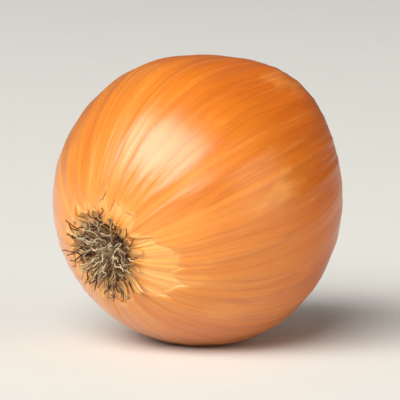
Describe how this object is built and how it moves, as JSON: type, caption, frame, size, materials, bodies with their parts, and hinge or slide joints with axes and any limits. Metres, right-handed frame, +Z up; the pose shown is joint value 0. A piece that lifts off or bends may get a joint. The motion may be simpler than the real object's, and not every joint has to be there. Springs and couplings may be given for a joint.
{
  "type": "yellow onion",
  "caption": "Whole yellow onion in its dry papery skin, lying on its side, with a tuft of dried roots and a short dried neck.",
  "frame": {"origin": "centre of the small flat spot that the onion rests on", "axes": "+Z up; the onion's own axis lies in the XZ plane, with the root end towards -X and the neck end raised towards +X"},
  "size_m": [0.086, 0.0684, 0.0689],
  "materials": {
    "bulb": "satin dry onion skin",
    "roots": "matt dried roots"
  },
  "bodies": {
    "root": {"bulb": "bulb", "roots": "roots"}
  },
  "joints": []
}
